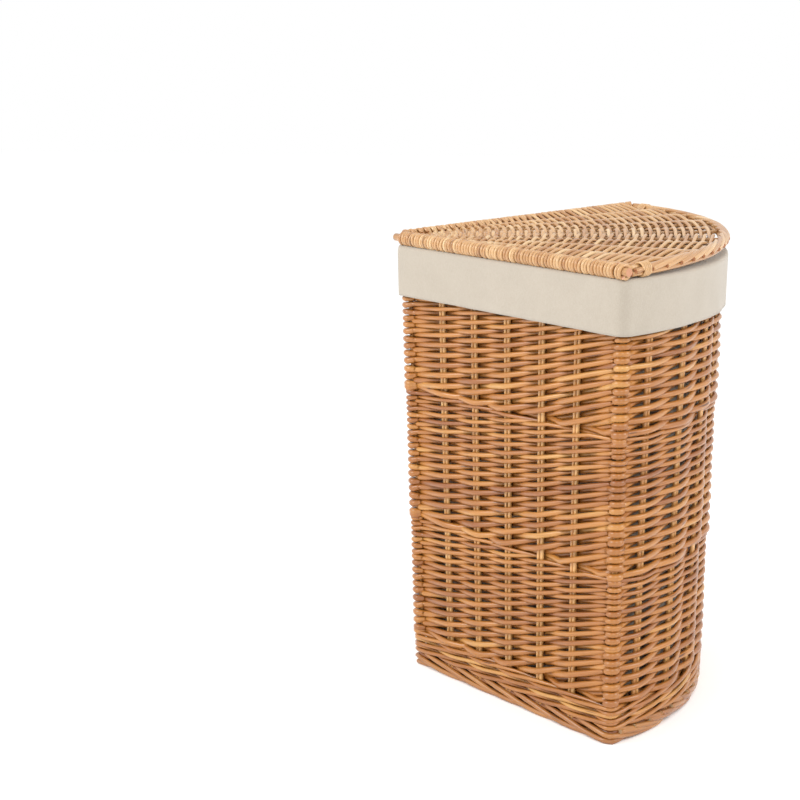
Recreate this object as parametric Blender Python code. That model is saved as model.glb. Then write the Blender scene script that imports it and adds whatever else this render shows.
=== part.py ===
"""Corner laundry basket: a quarter-round willow basket with a fabric liner and a loose woven lid.

Two straight sides meet in a right angle at the back and a quarter circle joins their front ends.
Metres, +Z up.  The back corner points to +Y, the round front faces -Y, and the basket stands on Z = 0.
"""
import math

import bmesh
import bpy
from mathutils import Matrix, Vector

# Basket body
HEIGHT = 0.505          # top of the rim border
RIM_SIDE = 0.374        # straight side, and front radius, at the rim
FOOT_SIDE = 0.340       # the same at the foot
FOOT_INSET = 0.0136     # how far the straight sides lean in at the foot
WALL = 0.014            # weavers in front of and behind the stakes
CORNER_ROUND = 0.012    # outside corners
INNER_ROUND = 0.004     # inside corners
GAP = 0.0003            # between touching pieces
BACK_CORNER_Y = 0.1855  # sharp back corner of the rim, so that the origin is under the middle

# Heights where one kind of weaving ends and the next begins
FOOT_TOP = 0.016
WALE_TOP = 0.041
LOWER_TOP = 0.184
MIDDLE_TOP = 0.338
UPPER_TOP = 0.488
FOOT_LEDGE = 0.020      # depth of the foot border, which carries the base
RIM_SWELL = 0.001       # how far the rim border stands out on both sides

# Stakes: pairs of rods along the walls, and one thick post in each corner
STAKE_RADIUS = 0.0025
STAKE_HALF_STEP = 0.0022
POST_RADIUS = 0.0045
POST_INSET = 0.008
STAKES_PER_SIDE = 5
FIRST_STAKE = 0.195     # share of the straight side
STAKES_IN_FRONT = 8
FIRST_FRONT_ANGLE = math.radians(7.5)

# Base
BASE_THICK = 0.010
BASE_STICKS = 5
BASE_STICK_RADIUS = 0.003
BASE_FAN_START = 0.085  # distance of the sticks from the corner that they spread from

# Liner
CLOTH = 0.0012
CUFF_BOTTOM = 0.4476
CUFF_STANDOFF = 0.0012
LINER_CLEARANCE = 0.0015
FLOOR_CLEARANCE = 0.0005

# Lid
LID_OVERHANG = 0.005
LID_RADIUS = 0.378
LID_ROD_RADIUS = 0.0045
LID_SLEEVE_RADIUS = 0.0065
LID_WEAVE_THICK = 0.007
LID_BORDER_RADIUS = 0.0065
LID_RIBS = 8
LID_RIB_RADIUS = 0.00225
LID_FAN_START = 0.055
LASHING_THICK = 0.001
LASHING_OUTER = LID_BORDER_RADIUS + 1.5 * GAP + LASHING_THICK
LASHING_LENGTH = 0.014
LASHING_ANGLE = math.radians(4.5)

ARC_STEPS = 14
CORNER_STEPS = 3
SIDES = 8               # corners of a rod's cross-section


def clear_scene():
    for obj in list(bpy.context.scene.objects):
        bpy.data.objects.remove(obj, do_unlink=True)


def make_collection(name, hidden=False):
    collection = bpy.data.collections.new(name)
    bpy.context.scene.collection.children.link(collection)
    collection.hide_render = hidden
    return collection


def make_material(name, color, roughness):
    material = bpy.data.materials.new(name)
    material.use_nodes = True
    shader = material.node_tree.nodes["Principled BSDF"]
    shader.inputs["Base Color"].default_value = (*color, 1.0)
    shader.inputs["Roughness"].default_value = roughness
    shader.inputs["Metallic"].default_value = 0.0
    material.diffuse_color = (*color, 1.0)
    return material


def world(u, v, z):
    """A point u along the left side and v along the right side, measured from the back corner."""
    root = math.sqrt(0.5)
    return Vector(((v - u) * root, BACK_CORNER_Y - (u + v) * root, z))


class Plan:
    """A quarter-round plan: straight sides at `edge`, and a front arc about (centre, centre)."""

    def __init__(self, edge, radius, centre):
        self.edge = edge
        self.radius = radius
        self.centre = centre

    def arc(self, angle, inset):
        reach = self.radius - inset
        return self.centre + reach * math.cos(angle), self.centre + reach * math.sin(angle)

    def outline(self, inset, z, corner_round):
        """The places along the closed outline, moved in by `inset`, from the back corner round."""
        near = self.edge + inset + corner_round
        rise = near - self.centre
        reach = self.radius - inset - corner_round
        far = self.centre + math.sqrt(reach ** 2 - rise ** 2)
        turn = math.atan2(rise, far - self.centre)
        places = fillet(near, near, corner_round, math.pi, 1.5 * math.pi)
        places += fillet(far, near, corner_round, -math.pi / 2, turn)
        span = math.pi / 2 - 2 * turn
        places += [self.arc(turn + span * i / ARC_STEPS, inset) for i in range(1, ARC_STEPS)]
        places += fillet(near, far, corner_round, math.pi / 2 - turn, math.pi)
        return [world(u, v, z) for u, v in places]


def fillet(u, v, radius, first, last):
    angles = [first + (last - first) * i / CORNER_STEPS for i in range(CORNER_STEPS + 1)]
    return [(u + radius * math.cos(angle), v + radius * math.sin(angle)) for angle in angles]


def body_plan(z):
    """The basket's outer plan at height z."""
    lean = 1 - z / HEIGHT
    inset = FOOT_INSET * lean
    return Plan(inset, RIM_SIDE + (FOOT_SIDE - RIM_SIDE) * lean, inset)


def lid_plan():
    return Plan(-LID_OVERHANG, LID_RADIUS, 0.0)


def add_object(name, bm, material, collection, parent):
    """Makes an object whose mesh is in world coordinates, keeping its origin at its parent."""
    bmesh.ops.recalc_face_normals(bm, faces=bm.faces)
    bm.transform(Matrix.Translation(-parent.location))
    mesh = bpy.data.meshes.new(name)
    bm.to_mesh(mesh)
    bm.free()
    mesh.materials.append(material)
    obj = bpy.data.objects.new(name, mesh)
    collection.objects.link(obj)
    obj.parent = parent
    return obj


def skin(rows, ring):
    """A solid made by extruding a closed outline from one row of places to the next.

    A ring ends where it began; otherwise its first and last outlines are filled.
    """
    bm = bmesh.new()
    verts = [bm.verts.new(place) for place in rows[0]]
    edges = [bm.edges.new((verts[i - 1], verts[i])) for i in range(len(verts))]
    first_edges = edges
    for row in rows[1:] + (rows[:1] if ring else []):
        made = bmesh.ops.extrude_edge_only(bm, edges=edges)["geom"]
        new_verts = {item for item in made if isinstance(item, bmesh.types.BMVert)}
        verts = [next(e.other_vert(v) for e in v.link_edges if e.other_vert(v) in new_verts) for v in verts]
        for vert, place in zip(verts, row):
            vert.co = place
        edges = [bm.edges.get((verts[i - 1], verts[i])) for i in range(len(verts))]
    if ring:
        bmesh.ops.remove_doubles(bm, verts=bm.verts, dist=GAP / 30)
    else:
        bmesh.ops.contextual_create(bm, geom=first_edges)
        bmesh.ops.contextual_create(bm, geom=edges)
    return bm


def lofted(rows, ring):
    """A solid through outlines given as (plan, inset, z, corner round)."""
    return skin([plan.outline(inset, z, corner) for plan, inset, z, corner in rows], ring)


def add_rod(bm, start, end, across, radius, half_step=0.0):
    """Adds a straight rod; with half_step it is two rods side by side along `across`."""
    axis = end - start
    length = axis.length
    axis.normalize()
    side = (across - axis * across.dot(axis)).normalized()
    other = axis.cross(side)
    frame = Matrix((side, other, axis)).transposed().to_4x4()
    frame.translation = start
    made = bmesh.ops.create_cone(
        bm, cap_ends=True, segments=SIDES, radius1=radius, radius2=radius, depth=length,
        matrix=Matrix.Rotation(math.pi / SIDES, 4, "Z"),
    )["verts"]
    for vert in made:
        vert.co.x += math.copysign(half_step, vert.co.x)
    bmesh.ops.transform(bm, matrix=frame @ Matrix.Translation((0, 0, length / 2)), verts=made)


def cut(obj, cutter, name):
    modifier = obj.modifiers.new(name, "BOOLEAN")
    modifier.operation = "DIFFERENCE"
    modifier.solver = "EXACT"
    modifier.object = cutter


def join(obj, other, name):
    modifier = obj.modifiers.new(name, "BOOLEAN")
    modifier.operation = "UNION"
    modifier.solver = "EXACT"
    modifier.object = other


def shade_round(obj):
    obj.data.shade_smooth()
    obj.data.set_sharp_from_angle(angle=math.radians(50))


def stake_lines():
    """(name, start, end, across, radius, half step) of every upright, foot to rim."""
    low, high = FOOT_TOP + GAP, UPPER_TOP
    middle = WALL / 2
    step = (1 - 2 * FIRST_STAKE) / (STAKES_PER_SIDE - 1)
    lines = []
    for side_name, swap in (("left", False), ("right", True)):
        for i in range(STAKES_PER_SIDE):
            share = FIRST_STAKE + step * i
            ends = []
            for z in (low, high):
                plan = body_plan(z)
                along = plan.edge + share * plan.radius
                inside = plan.edge + middle
                ends.append(world(inside, along, z) if swap else world(along, inside, z))
            across = world(0, 1, 0) - world(0, 0, 0) if swap else world(1, 0, 0) - world(0, 0, 0)
            lines.append((f"{side_name}_stake_pair_{i + 1}", *ends, across, STAKE_RADIUS, STAKE_HALF_STEP))
    turn = (math.pi / 2 - 2 * FIRST_FRONT_ANGLE) / (STAKES_IN_FRONT - 1)
    for i in range(STAKES_IN_FRONT):
        angle = FIRST_FRONT_ANGLE + turn * i
        ends = [world(*body_plan(z).arc(angle, middle), z) for z in (low, high)]
        across = world(-math.sin(angle), math.cos(angle), 0) - world(0, 0, 0)
        lines.append((f"front_stake_pair_{i + 1}", *ends, across, STAKE_RADIUS, STAKE_HALF_STEP))
    for corner in ("back", "left", "right"):
        ends = [corner_place(corner, z) for z in (low, high)]
        lines.append((f"{corner}_corner_post", *ends, Vector((1, 0, 0)), POST_RADIUS, 0.0))
    return lines


def corner_place(corner, z):
    """The axis of a corner post at height z."""
    plan = body_plan(z)
    near = plan.edge + POST_INSET
    reach = plan.radius - POST_INSET
    far = plan.edge + math.sqrt(reach ** 2 - POST_INSET ** 2)
    u, v = {"back": (near, near), "left": (far, near), "right": (near, far)}[corner]
    return world(u, v, z)


def build_stakes(look, parts, parent):
    for name, start, end, across, radius, half_step in stake_lines():
        bm = bmesh.new()
        add_rod(bm, start, end, across, radius, half_step)
        shade_round(add_object(name, bm, look, parts, parent))


def build_stake_cutter(look, cutters, parent):
    """All the uprights, grown by the gap and run past both ends."""
    bm = bmesh.new()
    for _, start, end, across, radius, half_step in stake_lines():
        past = (end - start).normalized() * (FOOT_TOP / 2)
        add_rod(bm, start - past, end + past, across, radius + GAP, half_step)
    cutter = add_object("stake_channels", bm, look, cutters, parent)
    cutter.display_type = "WIRE"
    return cutter


def wall_ring(z0, z1, outer, inner):
    low, high = body_plan(z0), body_plan(z1)
    return lofted([
        (low, outer, z0, CORNER_ROUND),
        (high, outer, z1, CORNER_ROUND),
        (high, inner, z1, INNER_ROUND),
        (low, inner, z0, INNER_ROUND),
    ], ring=True)


def build_walls(look, border_look, parts, parent, channels):
    bands = (
        ("upsett_wale", FOOT_TOP, WALE_TOP),
        ("lower_weave_band", WALE_TOP, LOWER_TOP),
        ("middle_weave_band", LOWER_TOP, MIDDLE_TOP),
        ("upper_weave_band", MIDDLE_TOP, UPPER_TOP),
    )
    for name, z0, z1 in bands:
        band = add_object(name, wall_ring(z0 + GAP, z1, 0.0, WALL), look, parts, parent)
        cut(band, channels, "stakes")
    add_object("foot_border", wall_ring(0.0, FOOT_TOP, 0.0, FOOT_LEDGE), border_look, parts, parent)
    rim = wall_ring(UPPER_TOP + GAP, HEIGHT, -RIM_SWELL, WALL + RIM_SWELL)
    add_object("rim_border", rim, border_look, parts, parent)


def fan_lines(count, start, end_radius, plan, z):
    """Start and end points of `count` sticks that spread from the corner of a plan."""
    lines = []
    for i in range(count):
        angle = math.pi / 2 * (i + 1) / (count + 1)
        near = (plan.centre + start * math.cos(angle), plan.centre + start * math.sin(angle))
        far = (plan.centre + end_radius * math.cos(angle), plan.centre + end_radius * math.sin(angle))
        lines.append((world(*near, z), world(*far, z)))
    return lines


def build_fan(name, lines, radius, look, parts, cutters, parent):
    """The sticks of a fan as nodes, and one cutter for their channels."""
    up = Vector((0, 0, 1))
    channels = bmesh.new()
    for i, (start, end) in enumerate(lines):
        bm = bmesh.new()
        add_rod(bm, start, end, up, radius)
        shade_round(add_object(f"{name}_{i + 1}", bm, look, parts, parent))
        beyond = (end - start).normalized() * LID_BORDER_RADIUS
        hair = (end - start).normalized() * GAP
        add_rod(channels, start - hair, end + beyond, up, radius + GAP)
    cutter = add_object(f"{name}_channels", channels, look, cutters, parent)
    cutter.display_type = "WIRE"
    return cutter


def build_base(look, stick_look, parts, cutters, parent):
    z0 = FOOT_TOP + GAP
    z1 = z0 + BASE_THICK
    inset = WALL + GAP
    plan = body_plan(z0)
    base = add_object(
        "base_weave",
        lofted([(plan, inset, z0, INNER_ROUND), (plan, inset, z1, INNER_ROUND)], ring=False),
        look, parts, parent,
    )
    lines = fan_lines(BASE_STICKS, BASE_FAN_START, plan.radius - inset - GAP, plan, (z0 + z1) / 2)
    channels = build_fan("base_stick", lines, BASE_STICK_RADIUS, stick_look, parts, cutters, parent)
    cut(base, channels, "sticks")
    return z1


def build_liner(look, parts, parent, floor_z):
    rim = body_plan(HEIGHT)
    outer = WALL + RIM_SWELL + LINER_CLEARANCE
    inner = outer + CLOTH
    z_low = floor_z + FLOOR_CLEARANCE
    z_fold = HEIGHT + FLOOR_CLEARANCE
    z_top = z_fold - GAP
    low = body_plan(z_low)
    bag = lofted([
        (low, inner, z_low + CLOTH, INNER_ROUND),
        (rim, inner, z_top, INNER_ROUND),
        (rim, outer, z_top, INNER_ROUND),
        (low, outer, z_low, INNER_ROUND),
    ], ring=False)
    add_object("liner_bag", bag, look, parts, parent)
    skin = -RIM_SWELL - CUFF_STANDOFF
    cuff = lofted([
        (rim, inner, z_fold, INNER_ROUND),
        (rim, inner, z_fold + CLOTH, INNER_ROUND),
        (rim, skin - CLOTH, z_fold + CLOTH, CORNER_ROUND),
        (rim, skin - CLOTH, CUFF_BOTTOM, CORNER_ROUND),
        (rim, skin, CUFF_BOTTOM, CORNER_ROUND),
        (rim, skin, z_fold, CORNER_ROUND),
    ], ring=True)
    add_object("liner_cuff", cuff, look, parts, parent)
    return z_fold + CLOTH


def circle_on_arc(plan, inset, angle, z, radius):
    """A circle about the front arc, square to it."""
    middle = world(*plan.arc(angle, inset), z)
    outward = (middle - world(plan.centre, plan.centre, z)).normalized()
    turns = [2 * math.pi * (k + 0.5) / SIDES for k in range(SIDES)]
    up = Vector((0, 0, 1))
    return [middle + (outward * math.cos(turn) + up * math.sin(turn)) * radius for turn in turns]


def build_border(name, look, parts, parent, plan, z):
    """The thick rolled edge along the front, between the two side rods."""
    inset = LID_BORDER_RADIUS
    clear = math.asin((LID_SLEEVE_RADIUS * 2 - LID_OVERHANG + GAP) / (plan.radius - 2 * inset))
    span = math.pi / 2 - 2 * clear
    steps = 2 * ARC_STEPS
    rows = [
        circle_on_arc(plan, inset, clear + span * i / steps, z, LID_BORDER_RADIUS)
        for i in range(steps + 1)
    ]
    shade_round(add_object(name, skin(rows, ring=False), look, parts, parent))


def build_lashing(name, look, parts, parent, plan, z, angle):
    """A binding round the border, near one of its ends."""
    half = LASHING_LENGTH / 2 / plan.radius
    inner = LASHING_OUTER - LASHING_THICK
    outer = LASHING_OUTER
    stations = ((-half, inner), (-half, outer), (half, outer), (half, inner))
    rows = [circle_on_arc(plan, LID_BORDER_RADIUS, angle + turn, z, radius) for turn, radius in stations]
    shade_round(add_object(name, skin(rows, ring=True), look, parts, parent))


def build_lid(look, rod_look, border_look, parts, cutters, parent, rest_z):
    plan = lid_plan()
    up = Vector((0, 0, 1))
    z = rest_z + GAP + LASHING_OUTER * math.cos(math.pi / SIDES)
    line = plan.edge + LID_SLEEVE_RADIUS
    end = math.sqrt(plan.radius ** 2 - line ** 2)
    half = LID_WEAVE_THICK / 2
    ring_inset = LID_BORDER_RADIUS + LASHING_OUTER + GAP
    sheet_plan = Plan(line - ring_inset, plan.radius, plan.centre)
    weave = add_object("lid_weave", lofted([
        (sheet_plan, ring_inset, z - half, INNER_ROUND / 2),
        (sheet_plan, ring_inset, z + half, INNER_ROUND / 2),
    ], ring=False), look, parts, parent)
    ribs = fan_lines(LID_RIBS, LID_FAN_START, plan.radius - ring_inset - GAP, plan, z)
    rib_channels = build_fan("lid_rib", ribs, LID_RIB_RADIUS, rod_look, parts, cutters, parent)
    sides = (
        ("left", world(plan.edge, line, z), world(end, line, z), 0.0),
        ("right", world(line, plan.edge, z), world(line, end, z), LID_ROD_RADIUS + GAP),
    )
    for name, start, tip, trim in sides:
        along = (tip - start).normalized()
        wrap = bmesh.new()
        add_rod(wrap, start, tip, up, LID_SLEEVE_RADIUS)
        sleeve = add_object(f"{name}_wrap", wrap, look, cutters, parent)
        join(weave, sleeve, f"{name}_wrap")
        rod_start = start + along * (LID_SLEEVE_RADIUS + trim if trim else GAP)
        rod = bmesh.new()
        add_rod(rod, rod_start, tip, up, LID_ROD_RADIUS)
        shade_round(add_object(f"lid_{name}_edge_rod", rod, rod_look, parts, parent))
        bore = bmesh.new()
        back = along * (LID_SLEEVE_RADIUS if trim else -LID_SLEEVE_RADIUS)
        add_rod(bore, start + back, tip + along * LID_SLEEVE_RADIUS, up, LID_ROD_RADIUS + GAP)
        channel = add_object(f"{name}_rod_channel", bore, look, cutters, parent)
        for helper in (sleeve, channel):
            helper.display_type = "WIRE"
    cut(weave, bpy.data.objects["left_rod_channel"], "left_rod")
    cut(weave, bpy.data.objects["right_rod_channel"], "right_rod")
    cut(weave, rib_channels, "ribs")
    build_border("lid_border", border_look, parts, parent, plan, z)
    build_lashing("lid_left_lashing", border_look, parts, parent, plan, z, LASHING_ANGLE)
    build_lashing("lid_right_lashing", border_look, parts, parent, plan, z, math.pi / 2 - LASHING_ANGLE)


def add_empty(name, z, collection):
    empty = bpy.data.objects.new(name, None)
    empty.location = (0.0, 0.0, z)
    collection.objects.link(empty)
    return empty


def main():
    clear_scene()
    parts = make_collection("corner_laundry_basket")
    cutters = make_collection("cutters", hidden=True)
    weave = make_material("buff_willow_weavers", (0.47, 0.23, 0.09), 0.55)
    stake = make_material("buff_willow_stakes", (0.56, 0.31, 0.13), 0.5)
    border = make_material("buff_willow_borders", (0.44, 0.21, 0.08), 0.55)
    lid_weave = make_material("pale_willow_lid", (0.58, 0.34, 0.16), 0.55)
    cloth = make_material("cream_cotton", (0.80, 0.76, 0.68), 0.9)
    basket = add_empty("basket_frame", 0.0, parts)
    liner = add_empty("liner_frame", HEIGHT, parts)
    lid = add_empty("lid_frame", HEIGHT, parts)
    channels = build_stake_cutter(stake, cutters, basket)
    build_walls(weave, border, parts, basket, channels)
    build_stakes(stake, parts, basket)
    floor_z = build_base(weave, stake, parts, cutters, basket)
    rest_z = build_liner(cloth, parts, liner, floor_z)
    build_lid(lid_weave, stake, border, parts, cutters, lid, rest_z)


main()
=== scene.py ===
"""The looks of the quarter-round laundry basket: woven willow, a cotton liner and a woven lid.

Metres, +Z up.  The back corner points to +Y and the round front faces -Y.
Plans are drawn from the back corner: u runs along the left side and v along the right side.
"""
import math

import bpy
import numpy as np
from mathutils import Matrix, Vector

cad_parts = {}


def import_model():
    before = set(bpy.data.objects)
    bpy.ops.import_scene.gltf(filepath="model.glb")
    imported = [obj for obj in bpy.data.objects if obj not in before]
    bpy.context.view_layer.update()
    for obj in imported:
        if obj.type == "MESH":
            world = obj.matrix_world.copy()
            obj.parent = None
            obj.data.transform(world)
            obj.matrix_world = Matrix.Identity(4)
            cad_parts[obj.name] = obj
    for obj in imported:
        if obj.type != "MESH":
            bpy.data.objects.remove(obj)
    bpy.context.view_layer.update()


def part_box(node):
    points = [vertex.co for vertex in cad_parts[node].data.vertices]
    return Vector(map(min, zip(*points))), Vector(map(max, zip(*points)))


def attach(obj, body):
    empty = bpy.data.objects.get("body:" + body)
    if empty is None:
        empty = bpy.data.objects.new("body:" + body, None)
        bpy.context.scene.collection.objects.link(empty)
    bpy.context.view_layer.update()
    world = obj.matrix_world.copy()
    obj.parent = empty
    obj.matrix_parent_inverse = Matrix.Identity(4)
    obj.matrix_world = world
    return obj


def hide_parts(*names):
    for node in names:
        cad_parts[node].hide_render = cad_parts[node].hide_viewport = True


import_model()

# Basket body, as the CAD model has it
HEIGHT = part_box("rim_border")[1].z
FOOT_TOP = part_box("foot_border")[1].z
WALE_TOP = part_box("upsett_wale")[1].z
LOWER_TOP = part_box("lower_weave_band")[1].z
MIDDLE_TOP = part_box("middle_weave_band")[1].z
UPPER_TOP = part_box("upper_weave_band")[1].z
RIM_SIDE = 0.374
FOOT_SIDE = 0.340
FOOT_INSET = 0.0136        # the foot's straight sides stand this far inside the rim's
BACK_CORNER_Y = 0.1855
WALL_MIDDLE = 0.007        # from the outer face to the line of the stakes
CORNER_BEND = 0.0018       # radius of that line in the corners
REFERENCE_Z = 0.25         # lengths round the plan are taken at this height

# Uprights
FIRST_STAKE = 0.195        # share of a straight side before its first pair and after its last
STAKES_PER_SIDE = 5
FIRST_FRONT_ANGLE = math.radians(7.5)     # round the back corner, from a straight side to the next pair
STAKES_IN_FRONT = 8
STAKE_RADIUS = 0.0025
STAKE_HALF_STEP = 0.0026   # half the distance between the two rods of a pair
STAKE_OUT = 0.0008         # the pairs are drawn this far outside the line of the stakes
STAKE_FOOT = 0.006         # height of their lower ends
POST_RADIUS = 0.0028
POST_INSET = 0.0029        # the posts stand this far inside that line
POST_FOOT = 0.004
UPRIGHT_TOP = UPPER_TOP + 0.004

# Weavers, in layers that thin from the rods' butts at the bottom of a band to their tips at the top
BUTT = 0.0066              # before a band's layers are fitted to its height
TIP = 0.0041
FIRST_LAYER = -0.6         # where the first weaver starts, so that its end is hidden
WEAVER_RADIUS = 0.555      # of the height of its layer
WEAVER_REACH = 0.55        # of the same, from a stake's face to the weaver's axis
WEAVER_SWAY = 0.00025      # its random sway in and out at each upright
WEAVER_WANDER = 0.00045    # and up and down

# Layers climbed from each upright to the next, from the back post on.  Their sum is odd, so that a weaver
# comes round on the other side of an upright, and a multiple of 3, so that the kinds below keep in step.
CLIMBS = (1.45, 1.35, 1.55, 2.05, 2.55, 3.15,
          0.3, 0.3, 0.3, 0.3, 0.3, 0.3, 0.3, 0.3, 0.3,
          1.1, 1.1, 1.0, 1.0, 1.0, 1.0)
CLIMBED = np.concatenate([[0.0], np.round(np.cumsum(CLIMBS), 3)])
CLIMBED_A_TURN = CLIMBED[-1]

# Posts: of three weavers in turn, two pass outside a post and the third behind it
KINDS = 3
BEHIND = 2
POST_OUT = 0.0043          # from the line of the stakes to the axis of a weaver outside a post
POST_BEHIND = -0.0052      # and to the axis of one behind it
POST_HOLD = 0.0005         # weavers keep that distance this far along from the post
POST_RELEASE = 0.0125      # and have left it here
POST_SWING = 0.0025        # before that bend, they aim this far in or out of the line of the stakes
POST_DIP = 0.0018          # and all of them this much further in
POST_SWELL = 0.22          # a weaver outside a post looks this much thicker there
POST_LIFTS = (0.25, -0.25, 0.0)     # of its thickness, for each kind

# Lid
LID_Z = (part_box("lid_border")[0].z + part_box("lid_border")[1].z) / 2
LID_SIDE = 0.378
LID_LINE = 0.0015          # the edge rods' axes stand this far inside the basket's sides
LID_FIRST_ROW = 0.0125     # from the back corner
LID_ROWS_END = 0.3628
LID_ROW_PITCH = 0.0047
LID_ROW_RADIUS = 0.0021
LID_RIB_RADIUS = 0.0021
LID_RIBS = 8
LID_RIB_START = 0.045      # from the back corner to the ribs
EDGE_ROD_RADIUS = 0.0044
WRAP_SIZE = EDGE_ROD_RADIUS + LID_ROW_RADIUS
WRAP_SLANT = (0.0002, 0.0034)       # how far a row runs along the edge rod as it turns round it
WRAP_STEPS = 12
BORDER_AXIS = 0.3712       # from the back corner to the middle of the border
LID_WARP = 0.011           # the right end of the lid stands this much higher

SIDES = 8                  # of a rod's section
PARTS = 7                  # stretches of a plan: half corner, side, corner, front, corner, side, half corner


# ---------------------------------------------------------------- plans and paths

def world(u, v, z):
    """Where a point of the plan is in the frame."""
    root = math.sqrt(0.5)
    u, v, z = np.broadcast_arrays(u, v, z)
    return np.stack([(v - u) * root, BACK_CORNER_Y - (u + v) * root, z], -1)


def plan_numbers(z, inset, bend):
    """The inset edge, and the centres and turn of the bends, of the plan at height z."""
    lean = 1 - z / HEIGHT
    edge = FOOT_INSET * lean
    radius = RIM_SIDE + (FOOT_SIDE - RIM_SIDE) * lean
    near = edge + inset + bend
    rise = inset + bend
    run = np.sqrt((radius - rise) ** 2 - rise ** 2)
    return edge, radius, near, edge + run, np.arctan2(rise, run)


def direction(angle):
    """The level direction at `angle` round the back corner, from the left side."""
    return world(np.cos(angle), np.sin(angle), 0.0) - world(0.0, 0.0, 0.0)


def outline(track, z, inset=WALL_MIDDLE, bend=CORNER_BEND, out=0.0):
    """Points at `track` (0 to 7 round the plan), moved `out` square to the plan, and that direction."""
    track, z, out = np.broadcast_arrays(np.asarray(track, float) % PARTS, z, out)
    edge, radius, near, far, turn = plan_numbers(z, inset, bend)
    part = np.floor(track).astype(int)
    share = track - part
    flat = np.zeros_like(track)
    half = math.pi / 2
    starts = (2.5 * half, -half, -half, turn, half - turn, 2 * half, 2 * half)
    ends = (3 * half, -half, turn, half - turn, 2 * half, 2 * half, 2.5 * half)
    first = np.choose(part, [flat + start for start in starts])
    last = np.choose(part, [flat + end for end in ends])
    angle = first + (last - first) * share
    middle_u = np.choose(part, [near, near + (far - near) * share, far, edge, near, near, near])
    middle_v = np.choose(part, [near, near, near, edge, far, far + (near - far) * share, near])
    size = np.where(part == 3, radius - inset, bend) + out
    points = world(middle_u + size * np.cos(angle), middle_v + size * np.sin(angle), z)
    return points, direction(angle)


def stretch_lengths():
    """The length of each part of the plan, along the line of the stakes."""
    _, radius, near, far, turn = plan_numbers(REFERENCE_Z, WALL_MIDDLE, CORNER_BEND)
    corner = CORNER_BEND * (turn + math.pi / 2)
    front = (radius - WALL_MIDDLE) * (math.pi / 2 - 2 * turn)
    half_corner = CORNER_BEND * math.pi / 4
    return np.array([half_corner, far - near, corner, front, corner, far - near, half_corner])


LENGTHS = stretch_lengths()
REACHED = np.concatenate([[0.0], np.cumsum(LENGTHS)])
ROUND = REACHED[-1]


def upright_tracks():
    """The uprights' tracks: back post, left pairs, left post, front pairs, right post, right pairs."""
    edge, radius, near, far, turn = plan_numbers(REFERENCE_Z, WALL_MIDDLE, CORNER_BEND)
    step = (1 - 2 * FIRST_STAKE) / (STAKES_PER_SIDE - 1)
    side = [(edge + (FIRST_STAKE + step * i) * radius - near) / (far - near) for i in range(STAKES_PER_SIDE)]
    fan = (math.pi / 2 - 2 * FIRST_FRONT_ANGLE) / (STAKES_IN_FRONT - 1)
    front = [(FIRST_FRONT_ANGLE + fan * i - turn) / (math.pi / 2 - 2 * turn) for i in range(STAKES_IN_FRONT)]
    tracks = [0.0] + [1 + s for s in side] + [2.5] + [3 + s for s in front] + [4.5]
    return np.array(tracks + [6 - s for s in reversed(side)])


UPRIGHTS = upright_tracks()
COUNT = len(UPRIGHTS)
POSTS = (0, STAKES_PER_SIDE + 1, STAKES_PER_SIDE + STAKES_IN_FRONT + 2)
PLACES = np.interp(UPRIGHTS, np.arange(PARTS + 1), REACHED)
PLACES_ROUND = np.concatenate([PLACES, [ROUND]])
UPRIGHT_NUMBERS = np.arange(COUNT + 1)


def step_samples():
    """Sample places round the plan, in upright numbers, closer together at the posts."""
    steps = 12
    least_gap = 0.004
    even = np.arange(COUNT * steps) / steps
    away = np.array([0.0015, 0.003, 0.0045, 0.006, 0.008, 0.011, 0.015])
    away = np.concatenate([-away, away])
    extra = [np.interp((PLACES[post] + away) % ROUND, PLACES_ROUND, UPRIGHT_NUMBERS) for post in POSTS]
    every = np.sort(np.concatenate([even] + extra))
    keep = np.concatenate([[True], np.diff(every) > least_gap])
    return every[keep]


SAMPLES = step_samples()


def samples_between(start, end):
    """The sample places from start to end, which may be more than a turn apart."""
    margin = 0.01
    turns = np.arange(math.floor(start / COUNT), math.floor(end / COUNT) + 1)
    every = (SAMPLES[None, :] + COUNT * turns[:, None]).ravel()
    inside = every[(every > start + margin) & (every < end - margin)]
    return np.concatenate([[start], inside, [end]])


def track_at(upright):
    """The track of a place given in upright numbers, which may run past one turn."""
    place = np.interp(np.asarray(upright) % COUNT, UPRIGHT_NUMBERS, PLACES_ROUND)
    return np.interp(place, REACHED, np.arange(PARTS + 1))


def length_at(upright):
    """The length round the plan of a place given in upright numbers, counting whole turns."""
    turns = np.floor(np.asarray(upright) / COUNT)
    return turns * ROUND + np.interp(upright - turns * COUNT, UPRIGHT_NUMBERS, PLACES_ROUND)


def track_at_length(length):
    return np.interp(np.asarray(length) % ROUND, REACHED, np.arange(PARTS + 1))


def eased(share):
    """From 0 to 1, mostly a smooth bend and partly straight, as a stiff rod goes between two stakes."""
    smooth = 0.65
    return smooth * (0.5 - 0.5 * np.cos(math.pi * share)) + (1 - smooth) * share


def between_uprights(place, values):
    """Eases between values given at whole numbers."""
    whole = np.clip(np.floor(place).astype(int), 0, len(values) - 2)
    return values[whole] + (values[whole + 1] - values[whole]) * eased(np.clip(place - whole, 0, 1))


def curve(x, keys, values):
    """A smooth curve through the keys."""
    keys, values = np.asarray(keys, float), np.asarray(values, float)
    slopes = np.gradient(values, keys)
    at = np.clip(np.searchsorted(keys, x, side="right") - 1, 0, len(keys) - 2)
    wide = keys[at + 1] - keys[at]
    t = np.clip((x - keys[at]) / wide, 0, 1)
    rise = values[at + 1] - values[at]
    bend_in = slopes[at] * wide - rise
    bend_out = rise - slopes[at + 1] * wide
    return values[at] + rise * t + t * (1 - t) * (bend_in * (1 - t) + bend_out * t)


# ---------------------------------------------------------------- rods

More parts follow.
